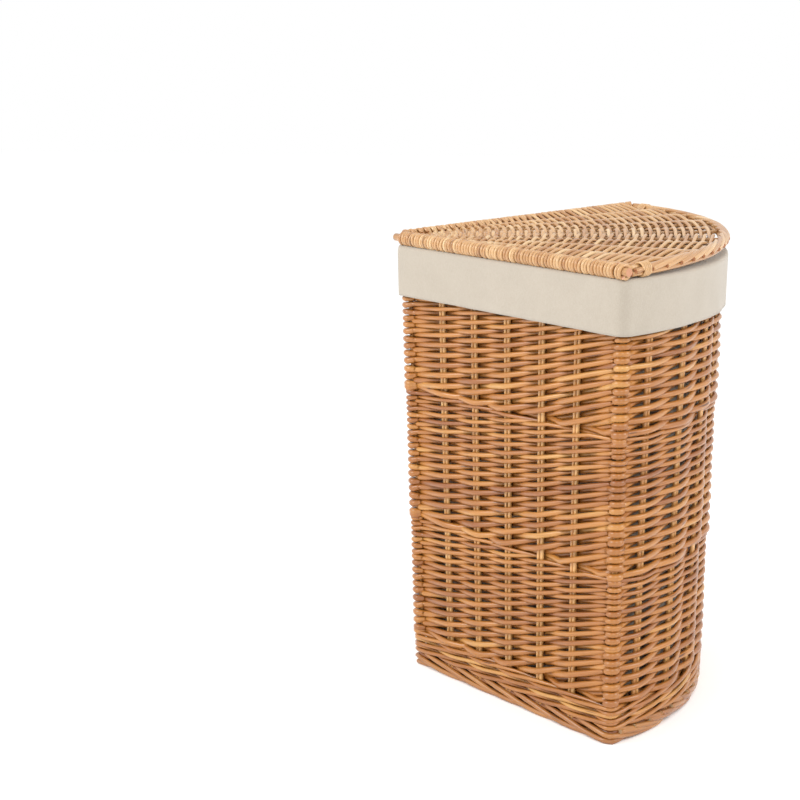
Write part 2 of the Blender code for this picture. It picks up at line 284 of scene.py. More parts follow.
def unit(vectors):
    return vectors / np.maximum(np.linalg.norm(vectors, axis=-1, keepdims=True), 1e-12)


class Bundle:
    """Round rods in one mesh, with what the willow material reads: tone, place in the fibre and cut ends."""

    def __init__(self, seed):
        self.random = np.random.default_rng(seed)
        self.points = []
        self.fibres = []
        self.tones = []
        self.faces = []
        self.cuts = []
        self.count = 0

    def add(self, path, radius, toward, tone=None, sides=SIDES):
        """Adds a rod along the path; `toward` is a direction that is never along it."""
        path = np.asarray(path, float)
        rings = len(path)
        radius = np.broadcast_to(radius, rings)
        tone = self.random.normal(0.5, 0.16) if tone is None else tone
        along = unit(np.gradient(path, axis=0))
        side = unit(np.cross(along, np.broadcast_to(toward, path.shape)))
        up = np.cross(side, along)
        turn = 2 * math.pi * (np.arange(sides) + 0.5) / sides
        spoke = np.cos(turn)[None, :, None] * side[:, None] + np.sin(turn)[None, :, None] * up[:, None]
        self.points.append((path[:, None] + radius[:, None, None] * spoke).reshape(-1, 3))
        run = np.concatenate([[0], np.cumsum(np.linalg.norm(np.diff(path, axis=0), axis=1))])
        run = run + self.random.uniform(0, 20)
        fibre = np.empty((rings, sides, 3))
        fibre[..., 0] = run[:, None]
        fibre[..., 1] = np.cos(turn)
        fibre[..., 2] = np.sin(turn)
        self.fibres.append(fibre.reshape(-1, 3))
        self.tones.append(np.full(rings * sides, tone))
        grid = self.count + np.arange(rings * sides).reshape(rings, sides)
        shifted = np.roll(grid, -1, axis=1)
        quads = np.stack([grid[:-1], grid[1:], shifted[1:], shifted[:-1]], -1).reshape(-1, 4)
        self.faces += quads.tolist()
        self.faces.append(grid[0].tolist())
        self.faces.append(grid[-1][::-1].tolist())
        self.cuts += [0.0] * len(quads) + [1.0, 1.0]
        self.count += rings * sides

    def build(self, name, body, slot, material, node):
        """Makes one object of the rods, which rides on a body and replaces a CAD node."""
        mesh = bpy.data.meshes.new(name)
        mesh.from_pydata(np.concatenate(self.points).tolist(), [], self.faces)
        mesh.polygons.foreach_set("use_smooth", [cut == 0.0 for cut in self.cuts])
        mesh.attributes.new("tone", "FLOAT", "POINT").data.foreach_set("value", np.concatenate(self.tones))
        fibre = mesh.attributes.new("fibre", "FLOAT_VECTOR", "POINT")
        fibre.data.foreach_set("vector", np.concatenate(self.fibres).ravel())
        mesh.attributes.new("cut", "FLOAT", "FACE").data.foreach_set("value", self.cuts)
        mesh.materials.append(material)
        obj = bpy.data.objects.new(name, mesh)
        bpy.context.scene.collection.objects.link(obj)
        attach(obj, body)
        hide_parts(node)


UP = np.array([0.0, 0.0, 1.0])


# ---------------------------------------------------------------- materials

def new_material(name, roughness):
    """A material with its nodes, its links and its shader."""
    material = bpy.data.materials.new(name)
    material.use_nodes = True
    nodes = material.node_tree.nodes
    shader = nodes["Principled BSDF"]
    shader.inputs["Roughness"].default_value = roughness
    return material, nodes, material.node_tree.links, shader


def ramp(nodes, links, value, stops):
    """The colour that a value picks from a ramp of (place, colour) stops."""
    node = nodes.new("ShaderNodeValToRGB")
    elements = node.color_ramp.elements
    while len(elements) < len(stops):
        elements.new(0.5)
    for element, (place, color) in zip(elements, stops):
        element.position = place
        element.color = (*color, 1.0)
    links.new(value, node.inputs["Fac"])
    return node.outputs["Color"]


def noise(nodes, links, vector, scale, detail=2.0, roughness=0.5):
    node = nodes.new("ShaderNodeTexNoise")
    node.inputs["Scale"].default_value = scale
    node.inputs["Detail"].default_value = detail
    node.inputs["Roughness"].default_value = roughness
    links.new(vector, node.inputs["Vector"])
    return node.outputs["Fac"]


def stretched(nodes, links, vector, scale):
    node = nodes.new("ShaderNodeMapping")
    node.inputs["Scale"].default_value = scale
    links.new(vector, node.inputs["Vector"])
    return node.outputs["Vector"]


def mixed(nodes, links, kind, share, first, second):
    node = nodes.new("ShaderNodeMix")
    node.data_type = "RGBA"
    node.blend_type = kind
    for socket, value in ((node.inputs[0], share), (node.inputs[6], first), (node.inputs[7], second)):
        if isinstance(value, (int, float, tuple)):
            socket.default_value = value
        else:
            links.new(value, socket)
    return node.outputs[2]


def remapped(nodes, links, value, low, high, to_low=0.0, to_high=1.0):
    node = nodes.new("ShaderNodeMapRange")
    node.inputs["From Min"].default_value = low
    node.inputs["From Max"].default_value = high
    node.inputs["To Min"].default_value = to_low
    node.inputs["To Max"].default_value = to_high
    links.new(value, node.inputs["Value"])
    return node.outputs["Result"]


def added(nodes, links, first, second):
    node = nodes.new("ShaderNodeMath")
    node.operation = "ADD"
    links.new(first, node.inputs[0])
    links.new(second, node.inputs[1])
    return node.outputs[0]


def attribute(nodes, name, output):
    node = nodes.new("ShaderNodeAttribute")
    node.attribute_name = name
    return node.outputs[output]


def bumped(nodes, links, shader, height, strength, distance):
    node = nodes.new("ShaderNodeBump")
    node.inputs["Strength"].default_value = strength
    node.inputs["Distance"].default_value = distance
    links.new(height, node.inputs["Height"])
    links.new(node.outputs["Normal"], shader.inputs["Normal"])


def willow_bark(nodes, links, fibre, streak, dark, middle, light, pale):
    """The colour along a rod: its own tone, which drifts, with streaks along the fibre and dark scars."""
    tone = attribute(nodes, "tone", "Fac")
    drift = noise(nodes, links, stretched(nodes, links, fibre, (9.0, 0.25, 0.25)), 1.0, 2.0)
    tone = added(nodes, links, tone, remapped(nodes, links, drift, 0.25, 0.75, -0.34, 0.34))
    color = ramp(nodes, links, tone, ((0.0, dark), (0.38, middle), (0.75, light), (1.0, pale)))
    tint = ((0.30, (0.62, 0.55, 0.48)), (0.55, (1.0, 1.0, 1.0)), (0.8, (1.14, 1.12, 1.08)))
    color = mixed(nodes, links, "MULTIPLY", 0.75, color, ramp(nodes, links, streak, tint))
    scar = noise(nodes, links, stretched(nodes, links, fibre, (26.0, 0.9, 0.9)), 1.0, 1.0)
    scar_mask = remapped(nodes, links, scar, 0.70, 0.78)
    return mixed(nodes, links, "MIX", scar_mask, color, (*[c * 0.45 for c in dark], 1.0))


def willow(name, dark, middle, light, pale, end_grain, roughness=0.38):
    """Peeled, boiled willow: each rod its own tone, with fibres, blotches, dark scars and pale cut ends."""
    material, nodes, links, shader = new_material(name, roughness)
    fibre = attribute(nodes, "fibre", "Vector")
    streak = noise(nodes, links, stretched(nodes, links, fibre, (38.0, 4.5, 4.5)), 1.0, 4.0, 0.65)
    color = willow_bark(nodes, links, fibre, streak, dark, middle, light, pale)
    ring = noise(nodes, links, stretched(nodes, links, fibre, (0.0, 2.2, 2.2)), 3.0, 2.0)
    end = ramp(nodes, links, ring, ((0.3, tuple(c * 0.72 for c in end_grain)), (0.7, end_grain)))
    color = mixed(nodes, links, "MIX", attribute(nodes, "cut", "Fac"), color, end)
    links.new(color, shader.inputs["Base Color"])
    gloss = remapped(nodes, links, streak, 0.2, 0.8, roughness + 0.12, roughness - 0.06)
    links.new(gloss, shader.inputs["Roughness"])
    bumped(nodes, links, shader, streak, 0.35, 0.0006)
    shader.inputs["Specular IOR Level"].default_value = 0.45
    shader.inputs["Coat Weight"].default_value = 0.5
    shader.inputs["Coat Roughness"].default_value = 0.25
    return material


def cotton(name, color, shade):
    """Plain-woven cotton: crossed threads, soft mottling and a faint bloom."""
    material, nodes, links, shader = new_material(name, 0.92)
    place = nodes.new("ShaderNodeTexCoord").outputs["Object"]
    mottle = noise(nodes, links, place, 26.0, 4.0, 0.6)
    body = ramp(nodes, links, mottle, ((0.3, shade), (0.68, color)))
    level = noise(nodes, links, stretched(nodes, links, place, (500.0, 500.0, 2600.0)), 1.0, 2.0)
    upright = noise(nodes, links, stretched(nodes, links, place, (2400.0, 2400.0, 260.0)), 1.0, 2.0)
    both = added(nodes, links, level, upright)
    spread = remapped(nodes, links, both, 0.6, 1.4)
    threads = ramp(nodes, links, spread, ((0.25, (0.90, 0.89, 0.87)), (0.75, (1.0, 1.0, 1.0))))
    links.new(mixed(nodes, links, "MULTIPLY", 1.0, body, threads), shader.inputs["Base Color"])
    bumped(nodes, links, shader, both, 0.3, 0.0004)
    shader.inputs["Sheen Weight"].default_value = 0.25
    shader.inputs["Sheen Roughness"].default_value = 0.5
    shader.inputs["Specular IOR Level"].default_value = 0.2
    return material


# Linear colours, from the darkest rods to the palest, and of the cut ends
WEAVERS = willow("willow_weavers", (0.25, 0.077, 0.011), (0.35, 0.126, 0.019), (0.44, 0.178, 0.031),
                 (0.53, 0.27, 0.068), (0.55, 0.36, 0.19))
# The stakes' colours are their own paler willow plus painted light: they are lightened to make up for the
# shade that the weavers cast on them. The posts and base sticks share this lightened material.
STAKES_PAINTED_LIGHTER = willow("willow_stakes_painted_lighter", (0.54, 0.25, 0.072), (0.63, 0.325, 0.10), (0.70, 0.40, 0.14),
                (0.76, 0.47, 0.19), (0.55, 0.38, 0.21))
BORDERS = willow("willow_borders", (0.25, 0.078, 0.014), (0.34, 0.130, 0.027), (0.42, 0.180, 0.042),
                 (0.50, 0.25, 0.068), (0.66, 0.47, 0.27))
LID_WILLOW = willow("willow_lid", (0.38, 0.175, 0.060), (0.50, 0.27, 0.108), (0.58, 0.35, 0.158),
                    (0.66, 0.45, 0.235), (0.52, 0.235, 0.12))
COTTON = cotton("liner_cotton", (0.412, 0.364, 0.302), (0.388, 0.342, 0.282))


# ---------------------------------------------------------------- basket walls

def is_post(number):
    return number % COUNT in POSTS


def near_post(number, place):
    """1 where a weaver turns round the post of that number, and 0 from a little way off it."""
    away = np.abs(length_at(place) - length_at(np.float64(number)))
    share = np.clip((away - POST_HOLD) / (POST_RELEASE - POST_HOLD), 0, 1)
    return 1 - share * share * (3 - 2 * share)


def climbed(place):
    """How many layers a weaver has climbed since the back post."""
    turns = np.floor(np.asarray(place) / COUNT)
    return turns * CLIMBED_A_TURN + np.interp(place - turns * COUNT, UPRIGHT_NUMBERS, CLIMBED)


def place_after(layers):
    """Where a weaver from the back post has climbed so many layers."""
    turns = np.floor(layers / CLIMBED_A_TURN)
    return float(turns * COUNT + np.interp(layers - turns * CLIMBED_A_TURN, CLIMBED, UPRIGHT_NUMBERS))


def round_posts(kind, passed, place, out, thickness):
    """Bends a weaver round the posts that it passes: its distance out, its rise and its thickness."""
    clear, swell = (POST_BEHIND, 0.0) if kind == BEHIND else (POST_OUT, POST_SWELL)
    lift = np.zeros_like(place)
    for number in passed:
        if is_post(number):
            turned = near_post(number, place)
            out = out + (clear - out) * turned
            lift = lift + turned * thickness * POST_LIFTS[kind]
            thickness = thickness * (1 + swell * turned)
    return out, lift, thickness


def weaver(bundle, number, rise, heights):
    """A weaver that is `number` layers behind the band's first.  Both its ends are behind an upright."""
    layers = np.arange(len(rise))
    first = math.floor(place_after(number + FIRST_LAYER))
    last = math.ceil(place_after(number + layers[-1] - FIRST_LAYER))
    passed = np.arange(first, last + 1)
    place = samples_between(first - 0.1, last + 0.1)
    layer = climbed(place) - number
    stout = bundle.random.uniform(0.95, 1.05)
    side = np.where((passed + number) % 2 == 1, 1.0, -1.0)
    side[[0, -1]] = -1.0
    reach = STAKE_RADIUS + WEAVER_REACH * np.interp(climbed(passed) - number, layers, rise)
    at_post = np.array([is_post(upright) for upright in passed])
    offsets = side * np.where(at_post, POST_SWING, reach) - np.where(at_post, POST_DIP, 0.0)
    offsets = offsets + bundle.random.normal(0, WEAVER_SWAY, len(passed))
    out = between_uprights(place - first, offsets)
    thickness = np.interp(layer, layers, rise)
    out, lift, thickness = round_posts(number % KINDS, passed, place, out, thickness)
    wander = np.interp(place, passed, bundle.random.normal(0, WEAVER_WANDER, len(passed)))
    z = np.interp(layer, layers, heights) + wander + lift
    points = outline(track_at(place), z, out=out)[0]
    bundle.add(points, thickness * WEAVER_RADIUS * stout, UP)


def randing(name, low, high, layers, seed):
    """One band of randing, from rods that start one layer apart and pass uprights in front and behind."""
    bundle = Bundle(seed)
    rise = np.linspace(BUTT, TIP, layers)
    rise *= (high - low) / rise.sum()
    heights = low + np.cumsum(rise) - rise / 2
    for number in range(int(CLIMBED_A_TURN)):
        weaver(bundle, number, rise, heights)
    bundle.build(f"{name}_rods", "basket", "willow_weavers", WEAVERS, name)


def wale(seed):
    """Rows of three-rod waling above the foot: in front of two uprights and behind one."""
    bundle = Bundle(seed)
    rows = 3
    rods = 3
    radius = 0.0023
    pitch = (WALE_TOP - FOOT_TOP) / rows
    reach = STAKE_RADIUS + radius
    outs = (-reach, -reach * 0.3, reach, reach, -reach * 0.3, -reach)
    for row in range(rows):
        low = FOOT_TOP + pitch * row + radius
        for first in range(rods):
            stout = bundle.random.uniform(0.92, 1.04)
            place = samples_between(first, first + COUNT + 0.2)
            phase = (place - first) % rods
            out = curve(phase, (0, 0.35, 1, 2, 2.65, 3), outs)
            z = low + curve(phase, (0, 1, 2, 3), (0.5, 0.08, 0.95, 0.5)) * (pitch - radius)
            points = outline(track_at(place), z, out=out)[0]
            bundle.add(points, radius * stout, UP)
    bundle.build("upsett_wale_rods", "basket", "willow_weavers", WEAVERS, "upsett_wale")


def laid_rod(bundle, start, length, keys, outs, heights, radius, tone=None):
    """A rod that lies along the wall from `start` (a length round the plan)."""
    step = 0.005
    share = np.linspace(0, 1, max(8, int(length / step)))
    out = curve(share, keys, outs)
    z = curve(share, keys, heights)
    points = outline(track_at_length(start + share * length), z, out=out)[0]
    bundle.add(points, radius, UP, tone)


def foot_border(seed):
    """The foot: uprights' ends turned down along the ground, short rods over them in front, rods inside."""
    bundle = Bundle(seed)
    radius = 0.0031
    ground = radius + 0.0002
    keys = (0, 0.12, 0.35, 0.55, 0.8, 1.0)
    outs = (-0.001, 0.0030, 0.0044, 0.0042, 0.0036, -0.0015)
    heights = (0.0190, 0.0158, 0.0102, 0.0050, ground, ground)
    spans = 2.75
    for number in range(COUNT):
        gap = PLACES_ROUND[number + 1] - PLACES[number]
        stout = radius * bundle.random.uniform(0.92, 1.0)
        laid_rod(bundle, PLACES[number], gap * spans, keys, outs, heights, stout)
    short_rods(bundle, ground)
    for out, z in ((-0.0050, ground), (-0.0048, 0.0095), (-0.0105, ground), (0.0002, 0.0120)):
        laid_rod(bundle, 0.02, ROUND + 0.03, (0, 0.5, 1), (out,) * 3, (z,) * 3, radius, 0.1)
    bundle.build("foot_border_rods", "basket", "willow_borders", BORDERS, "foot_border")


def short_rods(bundle, ground):
    """Short rods laid over the foot along the round front."""
    length = 0.085
    spacing = 0.026
    radius = 0.0029
    keys = (0, 0.33, 0.66, 1.0)
    outs = (0.0052, 0.0056, 0.0024, -0.004)
    heights = (0.0128, 0.0088, 0.0042, ground)
    for start in np.arange(REACHED[3] + 0.01, REACHED[4] - 0.03, spacing):
        start = start + bundle.random.uniform(-0.003, 0.003)
        laid_rod(bundle, start, length, keys, outs, heights, radius)


def rim_border(seed):
    """The rim: four rods twisted together round the top."""
    bundle = Bundle(seed)
    strands = 4
    radius = 0.0036
    twist_radius = 0.0040
    step = 0.006
    lay = 0.11
    middle = (UPPER_TOP + HEIGHT) / 2
    length = np.arange(0, ROUND + step, step)
    turns = round(ROUND / lay)
    for strand in range(strands):
        angle = 2 * math.pi * (turns * length / ROUND + strand / strands)
        out = twist_radius * np.cos(angle)
        z = middle + (twist_radius + 0.0005) * np.sin(angle)
        points = outline(track_at_length(length), z, out=out)[0]
        bundle.add(points, radius, UP)
    bundle.build("rim_border_rods", "basket", "willow_borders", BORDERS, "rim_border")


def upright_line(number, low, out, steps):
    """Points up an upright, and the direction out of the wall there."""
    z = np.linspace(low, UPRIGHT_TOP, steps)
    return outline(np.full(steps, UPRIGHTS[number]), z, out=out)


def stake_names():
    """The names of the stake pairs in their order round the basket, with None for the posts."""
    left = [f"left_stake_pair_{i + 1}" for i in range(STAKES_PER_SIDE)]
    front = [f"front_stake_pair_{i + 1}" for i in range(STAKES_IN_FRONT)]
    right = [f"right_stake_pair_{i}" for i in range(STAKES_PER_SIDE, 0, -1)]
    return left + [None] + front + [None] + right


def stake_pair(name, number, seed):
    """Two thin rods side by side, which waver a little."""
    bundle = Bundle(seed)
    thinned = 0.88
    for sign in (-1, 1):
        points, outward = upright_line(number, STAKE_FOOT, STAKE_OUT, 24)
        across = unit(np.cross(outward, UP))
        wave = np.cumsum(bundle.random.normal(0, 0.00012, len(points)))
        wave -= np.linspace(wave[0], wave[-1], len(points))
        shift = sign * STAKE_HALF_STEP * bundle.random.uniform(0.96, 1.04) + wave
        radius = np.linspace(STAKE_RADIUS, STAKE_RADIUS * thinned, len(points))
        bundle.add(points + across * shift[:, None], radius, outward)
    bundle.build(f"{name}_rods", "basket", "willow_rods", STAKES_PAINTED_LIGHTER, name)


def stake_pairs(seed):
    for number, name in enumerate(stake_names(), start=1):
        if name:
            stake_pair(name, number, seed + number)


def corner_posts(seed):
    steps = 20
    for name, number in zip(("back", "left", "right"), POSTS):
        bundle = Bundle(seed + number)
        points, outward = upright_line(number, POST_FOOT, -POST_INSET, steps)
        wave = np.sin(np.linspace(0, 9, steps) + number) * 0.0002
        bundle.add(points + outward * wave[:, None], POST_RADIUS, outward)
        bundle.build(f"{name}_corner_post_rod", "basket", "willow_rods", STAKES_PAINTED_LIGHTER, f"{name}_corner_post")


# ---------------------------------------------------------------- base

BASE_STICKS = 5
BASE_STICK_RADIUS = 0.0021
BASE_ROD_RADIUS = 0.0017
BASE_LOW, BASE_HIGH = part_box("base_weave")
BASE_Z = (BASE_LOW.z + BASE_HIGH.z) / 2
BASE_CORNER, BASE_SIZE = plan_numbers(BASE_Z, 0.0, 0.001)[:2]
BASE_END = BASE_SIZE - 0.0146


def on_base(angle, reach, up=0.0):
    """A point of the base, at an angle round the back corner and a reach from it."""
    return world(BASE_CORNER + reach * np.cos(angle), BASE_CORNER + reach * np.sin(angle), BASE_Z + up)


def base_weave(seed):
    """Thin rods in arcs about the back corner, over and under the sticks."""
    bundle = Bundle(seed)
    pitch = 0.0037
    edge_gap = 0.0165
    step = math.pi / 2 / (BASE_STICKS + 1)
    for row in range(int((BASE_END - 0.024) / pitch)):
        reach = 0.026 + pitch * row
        gone = math.asin(min(0.9, edge_gap / reach))
        angle = np.linspace(gone, math.pi / 2 - gone, max(10, int(reach * 160)))
        swing = np.cos(math.pi * (angle / step + row)) * (BASE_STICK_RADIUS + BASE_ROD_RADIUS - 0.0001)
        bundle.add(on_base(angle, reach, swing), BASE_ROD_RADIUS, UP, sides=6)
    bundle.build("base_weave_rods", "basket", "willow_weavers", WEAVERS, "base_weave")


def base_sticks(seed):
    for number in range(1, BASE_STICKS + 1):
        bundle = Bundle(seed + number)
        reach = np.linspace(0.045, BASE_END, 20)
        bundle.add(on_base(math.pi / 2 * number / (BASE_STICKS + 1), reach), BASE_STICK_RADIUS, UP)
        name = f"base_stick_{number}"
        bundle.build(f"{name}_rod", "basket", "willow_rods", STAKES_PAINTED_LIGHTER, name)


# ---------------------------------------------------------------- liner

def loop_tracks():
    """Tracks round a plan for a cloth mesh, closer together in the corners."""
    counts = (5, 46, 10, 76, 10, 46, 5)     # points in each part of the plan
    return np.concatenate([part + np.arange(count) / count for part, count in enumerate(counts)])


TRACKS = loop_tracks()
FLOOR_STEPS = 12


def folds(length, z, seed, waves, size):
    """Soft vertical waves in cloth, from -size to size."""
    random = np.random.default_rng(seed)
    total = np.zeros_like(length)
    for width in waves:
        turns = max(1, round(ROUND / width))
        phase = random.uniform(0, 2 * math.pi)
        slant = random.uniform(-18, 18)
        total = total + np.sin(2 * math.pi * turns * length / ROUND + phase + slant * z)
    return total * size / len(waves)


def cloth_rows(rows, seed):
    """Rings of points round the basket: each row is (inset, bend, height, size of the folds)."""
    lengths = np.interp(TRACKS, np.arange(PARTS + 1), REACHED)
    waves = (0.31, 0.17, 0.093, 0.051)
    rings = []
    for inset, bend, z, loose in rows:
        wave = folds(lengths, z, seed, waves, loose)
        points = outline(TRACKS, min(z, HEIGHT), inset, bend, out=wave)[0]
        points[:, 2] = z
        rings.append(points)
    return rings


def wall_faces(rows, count):
    """The faces between rings of `count` points."""
    faces = []
    for row in range(rows - 1):
        for k in range(count):
            first = row * count + k
            second = row * count + (k + 1) % count
            faces.append((first, second, second + count, first + count))
    return faces


def floor_points(ring):
    """Smaller and smaller rings inside a ring, and its middle."""
    middle = ring.mean(axis=0)
    rings = [middle + (ring - middle) * (1 - step / FLOOR_STEPS) for step in range(1, FLOOR_STEPS)]
    return np.concatenate(rings + [middle[None]])


def floor_faces(count, start):
    """The faces of a floor inside the cloth's first ring.  Its own points begin at number `start`."""
    faces = []
    previous = 0
    for current in range(start, start + (FLOOR_STEPS - 1) * count, count):
        for k in range(count):
            after = (k + 1) % count
            faces.append((previous + after, previous + k, current + k, current + after))
        previous = current
    tip = previous + count
    return faces + [(previous + (k + 1) % count, previous + k, tip) for k in range(count)]


def cloth(name, rings, closed_floor, thickness, node):
    """A sheet through the rings, which rides on the liner and replaces a CAD node."""
    count = len(rings[0])
    points = np.concatenate(rings)
    faces = wall_faces(len(rings), count)
    if closed_floor:
        faces += floor_faces(count, len(points))
        points = np.concatenate([points, floor_points(rings[0])])
    mesh = bpy.data.meshes.new(name)
    mesh.from_pydata(points.tolist(), [], faces)
    mesh.polygons.foreach_set("use_smooth", [True] * len(mesh.polygons))
    mesh.materials.append(COTTON)
    obj = bpy.data.objects.new(name, mesh)
    bpy.context.scene.collection.objects.link(obj)
    solid = obj.modifiers.new("thickness", "SOLIDIFY")
    solid.thickness = thickness
    solid.offset = 0.0
    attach(obj, "liner")
    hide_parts(node)
    return obj


def liner_bag():
    """The bag, from the edge of its floor up its wall to the rim."""
    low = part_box("liner_bag")[0].z + 0.0006
    rows = [(0.0220, 0.010, low + 0.0004, 0.0), (0.0182, 0.008, low + 0.0022, 0.0002)]
    rows += [(0.0192, 0.007, low + 0.006 + 0.0125 * i, 0.0009) for i in range(37)]
    rows += [(0.0172, 0.006, z, 0.0004) for z in (0.4870, 0.4950, 0.5010, 0.5046)]
    bag = cloth("liner_bag_cloth", cloth_rows(rows, 5), True, 0.0008, "liner_bag")


CUFF_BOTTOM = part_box("liner_cuff")[0].z
CUFF_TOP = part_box("liner_cuff")[1].z - 0.0006
CUFF_BEND = 0.0035         # radius of the turn down from the rim
CUFF_SIDE_TOP = CUFF_TOP - CUFF_BEND


def cuff_rows():
    """Over the rim from the bag's edge, round the outside and down to the hem."""
    rows = [(0.0172, 0.006, 0.5052, 0.0), (0.0150, 0.008, CUFF_TOP, 0.0), (0.0075, 0.011, CUFF_TOP, 0.0001)]
    for degrees in (90, 60, 30, 0):
        turn = math.radians(degrees)
        z = CUFF_SIDE_TOP + CUFF_BEND * math.sin(turn)
        rows.append((0.0002 - 0.0030 * math.cos(turn), 0.014, z, 0.0003))
    for share in np.linspace(0.08, 1.0, 16):
        z = CUFF_SIDE_TOP + (CUFF_BOTTOM + 0.0007 - CUFF_SIDE_TOP) * share
        rows.append((-0.0028 - 0.0006 * share, 0.0125, z, 0.0004 + 0.0012 * share))
    rows.append((-0.0020, 0.015, CUFF_BOTTOM + 0.0005, 0.0009))
    return rows


def liner_cuff():
    cuff = cloth("liner_cuff_cloth", cloth_rows(cuff_rows(), 9), False, 0.0009, "liner_cuff")


# ---------------------------------------------------------------- lid

def on_lid(u, v, up):
    """A point on the lid, which is a little warped: flat at its left end and raised at its right."""
    u, v, up = np.broadcast_arrays(u, v, up)
    return world(u, v, LID_Z + up + LID_WARP * np.clip(v / LID_SIDE, 0, 1))


def lid_wrap(ends_on_top, reach, slant):
    """A row's turn round an edge rod, as (along, inward, up) from the corner end of the rod's axis."""
    turns = np.radians(np.linspace(-65, 170, WRAP_STEPS))
    inward = -WRAP_SIZE * np.sin(turns)
    up = WRAP_SIZE * np.cos(turns)
    if ends_on_top:
        up = -up
    along = reach - slant * np.linspace(1, 0, WRAP_STEPS)
    return along, inward, up


def lid_row_heights(reach, left_sign, right_sign):
    """A row's height at the left edge rod, at each rib and at the right edge rod."""
    over_rib = LID_RIB_RADIUS + LID_ROW_RADIUS - 0.0002
    before_ribs = 0.0018
    swing = over_rib if reach > 0.050 else before_ribs
    ribs = [(-1) ** number * left_sign * swing for number in range(1, LID_RIBS + 1)]
    return np.array([left_sign * WRAP_SIZE * 0.93] + ribs + [right_sign * WRAP_SIZE * 0.93])


def lid_row(bundle, row, reach):
    """A row: round the left edge rod, over and under the ribs, and round the right edge rod."""
    left_top = row % 2 == 0
    right_top = (row + LID_RIBS + 1) % 2 == 0
    along, inward, up = lid_wrap(left_top, reach, bundle.random.uniform(*WRAP_SLANT))
    left = np.stack([along, LID_LINE + inward, up], -1)
    along, inward, up = lid_wrap(right_top, reach, bundle.random.uniform(*WRAP_SLANT))
    right = np.stack([LID_LINE + inward, along, up], -1)[::-1]
    heights = lid_row_heights(reach, 1.0 if left_top else -1.0, 1.0 if right_top else -1.0)
    first = 0.0045 / reach
    angle = np.linspace(first, math.pi / 2 - first, max(8, int(reach * 300)))
    place = angle / (math.pi / 2) * (LID_RIBS + 1)
    height = between_uprights(place, heights + bundle.random.normal(0, 0.00015, len(heights)))
    wobble = between_uprights(place, bundle.random.normal(0, 0.00022, len(heights)))
    arc = np.stack([(reach + wobble) * np.cos(angle), (reach + wobble) * np.sin(angle), height], -1)
    path = np.concatenate([left, arc, right])
    points = on_lid(path[:, 0], path[:, 1], path[:, 2])
    turned = np.clip((np.arange(len(points)) - WRAP_STEPS) / max(1, len(points) - 2 * WRAP_STEPS - 1), 0, 1)
    toward = np.cross(direction(turned * math.pi / 2), unit(np.gradient(points, axis=0)))
    radius = LID_ROW_RADIUS * bundle.random.uniform(0.90, 1.08)
    tone = bundle.random.uniform(0.1, 0.9)
    bundle.add(points, radius, toward, tone)


def edge_binding(bundle, start, end, on_right):
    """A rod wound round the end of an edge rod, past the last row."""
    pitch = 0.0043
    along = np.arange(start, end, 0.0002)
    turn = 2 * math.pi * (along - along[0]) / pitch
    inward = LID_LINE + WRAP_SIZE * np.sin(turn)
    up = WRAP_SIZE * np.cos(turn)
    points = on_lid(inward, along, up) if on_right else on_lid(along, inward, up)
    axis = on_lid(LID_LINE, along, 0.0) if on_right else on_lid(along, LID_LINE, 0.0)
    bundle.add(points, LID_ROW_RADIUS, points - axis)


def lid_rows(seed):
    bundle = Bundle(seed)
    reaches = np.arange(LID_FIRST_ROW, LID_ROWS_END, LID_ROW_PITCH)
    for row, reach in enumerate(reaches):
        lid_row(bundle, row, reach)
    edge_binding(bundle, reaches[-1] + 0.0030, 0.3745, False)
    edge_binding(bundle, reaches[-1] + 0.0030, 0.372, True)
    bundle.build("lid_weave_rods", "lid", "lid_weavers", LID_WILLOW, "lid_weave")


def edge_rods(seed):
    """The thick rods along the lid's straight sides."""
    steps = 30
    for name, start, end in (("left", -0.0040, 0.3790), ("right", 0.0065, 0.3750)):
        bundle = Bundle(seed)
        reach = np.linspace(start, end, steps)
        points = on_lid(reach, LID_LINE, 0.0) if name == "left" else on_lid(LID_LINE, reach, 0.0)
        bundle.add(points, EDGE_ROD_RADIUS, UP, 0.3, sides=16)
        node = f"lid_{name}_edge_rod"
        bundle.build(f"{node}_rod", "lid", "willow_rods", LID_WILLOW, node)
        seed += 1


def lid_ribs(seed):
    """Sticks that fan out from the back corner."""
    for number in range(1, LID_RIBS + 1):
        bundle = Bundle(seed + number)
        angle = math.pi / 2 * number / (LID_RIBS + 1)
        reach = np.linspace(LID_RIB_START, BORDER_AXIS + 0.0003, 24)
        bundle.add(on_lid(reach * math.cos(angle), reach * math.sin(angle), 0.0), LID_RIB_RADIUS, UP)
        node = f"lid_rib_{number}"
        bundle.build(f"{node}_rod", "lid", "willow_rods", LID_WILLOW, node)


def border_path(angle, out, up):
    reach = BORDER_AXIS + out
    return on_lid(reach * np.cos(angle), reach * np.sin(angle), up)


BORDER_FIRST = math.radians(1.5)
BORDER_LAST = math.radians(88.6)
BORDER_CORES = (           # out, up, radius and tone
    (-0.0026, -0.0024, 0.0029, 0.5),
    (0.0026, -0.0034, 0.0026, 0.2),
    (-0.0010, 0.0024, 0.0026, 0.7),
)


def border_rod(bundle, start):
    """A rod of the border, which starts on top inside and ends low outside."""
    reach = math.radians(12.2)
    kept = (min(start + reach, BORDER_LAST) - start) / reach
    share = np.linspace(0, kept, max(5, int(26 * kept)))
    turn = np.radians(curve(share, (0, 0.33, 0.66, 1.0), (-8, 34, 78, 128)))
    size = curve(share, (0, 0.33, 0.66, 1.0), (0.0048, 0.0046, 0.0044, 0.0050))
    wiggle = bundle.random.uniform(-0.0003, 0.0003)
    path = border_path(start + share * reach, size * np.cos(turn) + wiggle, size * np.sin(turn))
    radius = np.interp(share, (0, 1), (0.0028, 0.0023)) * bundle.random.uniform(0.94, 1.04)
    bundle.add(path, radius, UP)


